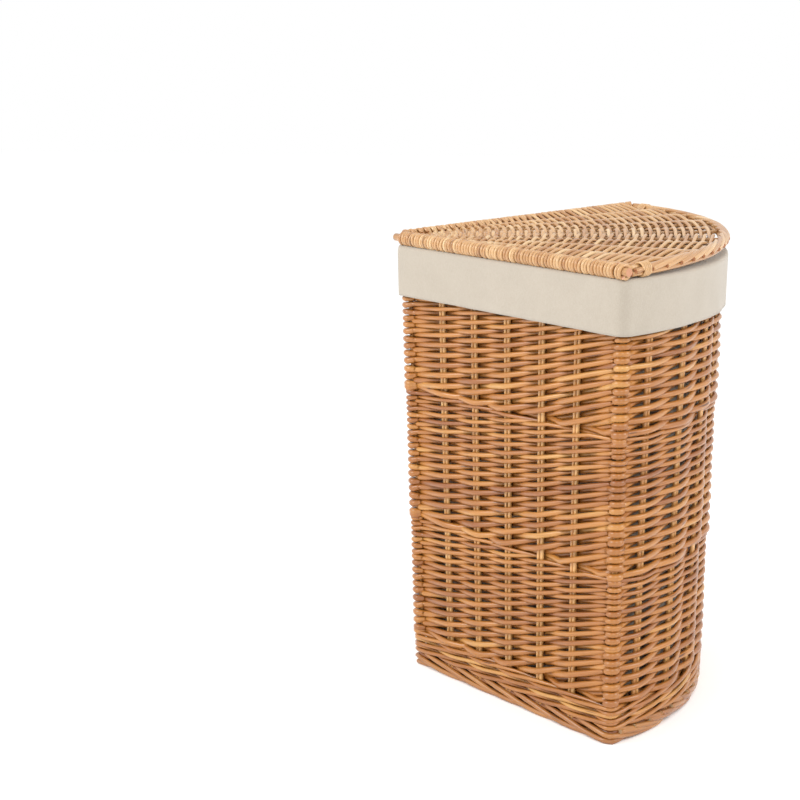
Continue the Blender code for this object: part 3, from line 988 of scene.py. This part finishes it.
def lid_border(seed):
    """The border: rods laid one after another over three core rods."""
    bundle = Bundle(seed)
    angle = np.linspace(BORDER_FIRST, BORDER_LAST, 90)
    for out, up, radius, tone in BORDER_CORES:
        wave = 0.0004 * np.sin(angle * 21 + radius * 9000)
        bundle.add(border_path(angle, out + wave, up), radius, UP, tone)
    spacing = math.radians(3.95)
    start = BORDER_FIRST + math.radians(0.6)
    while start < BORDER_LAST - math.radians(2.0):
        border_rod(bundle, start)
        start += spacing * bundle.random.uniform(0.93, 1.07)
    bundle.build("lid_border_rods", "lid", "willow_borders", LID_WILLOW, "lid_border")


def lid_lashing(name, degrees, seed):
    """A thin split wound round the border near its end."""
    bundle = Bundle(seed)
    turns = 4.6
    length = 0.0125
    radius = 0.00125
    share = np.linspace(0, 1, 90)
    angle = math.radians(degrees) + (share - 0.5) * length / LID_SIDE
    turn = 2 * math.pi * turns * share
    out = 0.0072 * np.cos(turn)
    up = 0.0070 * np.sin(turn) - 0.0004
    path = border_path(angle, out, up)
    axis = border_path(angle, 0.0, 0.0)
    bundle.add(path, radius, path - axis, 0.75)
    bundle.build(f"{name}_coil", "lid", "willow_borders", LID_WILLOW, name)


# ---------------------------------------------------------------- stage

MIDDLE = (0, 0, 0.25)
LAMPS = (                  # name, place, size and power in watts
    ("right", (-0.60, -2.50, 1.90), 1.2, 36),
    ("left", (-0.95, 2.40, 1.90), 1.2, 50),
    ("front", (-2.60, -0.40, 2.20), 0.8, 22),
)
FLOOR_SIZE = 8.0           # from the middle to an edge

# From a fit of both baskets' corners and edges to the photo
CAMERA_PLACE = (-2.1693, -0.0985, 0.7727)
CAMERA_HEADING = (0.9917, 0.1283)
CAMERA_PITCH = math.radians(11.62)
CAMERA_LENS = 85.6         # mm, on a sensor 36 mm wide


def floor():
    size = FLOOR_SIZE
    corners = [(-size, -size, 0), (size, -size, 0), (size, size, 0), (-size, size, 0)]
    mesh = bpy.data.meshes.new("floor")
    mesh.from_pydata(corners, [], [(0, 1, 2, 3)])
    material, _, _, shader = new_material("floor_white", 0.9)
    shader.inputs["Base Color"].default_value = (1.0, 1.0, 1.0, 1.0)
    shader.inputs["Specular IOR Level"].default_value = 0.0
    mesh.materials.append(material)
    obj = bpy.data.objects.new("floor", mesh)
    bpy.context.scene.collection.objects.link(obj)


def aimed(name, data, place, look):
    """Puts a light or a camera in the scene, looking along `look`."""
    obj = bpy.data.objects.new(name, data)
    obj.location = place
    obj.rotation_mode = "QUATERNION"
    obj.rotation_quaternion = look.to_track_quat("-Z", "Y")
    bpy.context.scene.collection.objects.link(obj)
    return obj


def area_light(name, place, size, power):
    data = bpy.data.lights.new(name, "AREA")
    data.shape = "DISK"
    data.size = size
    data.energy = power
    aimed(name, data, place, Vector(MIDDLE) - Vector(place))


def studio():
    scene = bpy.context.scene
    scene.view_settings.view_transform = "Standard"
    world_data = bpy.data.worlds.new("studio")
    world_data.use_nodes = True
    background = world_data.node_tree.nodes["Background"]
    background.inputs["Color"].default_value = (1.0, 1.0, 1.0, 1.0)
    background.inputs["Strength"].default_value = 1.0
    scene.world = world_data
    for lamp in LAMPS:
        area_light(*lamp)


def camera():
    data = bpy.data.cameras.new("camera")
    data.sensor_width = 36.0
    data.lens = CAMERA_LENS
    data.clip_end = 60.0
    ahead, left = CAMERA_HEADING
    level = math.cos(CAMERA_PITCH)
    look = Vector((ahead * level, left * level, -math.sin(CAMERA_PITCH)))
    bpy.context.scene.camera = aimed("camera", data, CAMERA_PLACE, look)


def build():
    camera()
    studio()
    floor()
    randing("lower_weave_band", WALE_TOP, LOWER_TOP, 27, 11)
    randing("middle_weave_band", LOWER_TOP, MIDDLE_TOP, 29, 12)
    randing("upper_weave_band", MIDDLE_TOP, UPPER_TOP, 29, 13)
    wale(14)
    foot_border(15)
    rim_border(16)
    stake_pairs(100)
    corner_posts(140)
    base_weave(160)
    base_sticks(160)
    liner_bag()
    liner_cuff()
    lid_rows(21)
    edge_rods(200)
    lid_ribs(201)
    lid_border(23)
    lid_lashing("lid_left_lashing", 4.5, 24)
    lid_lashing("lid_right_lashing", 85.5, 25)


build()
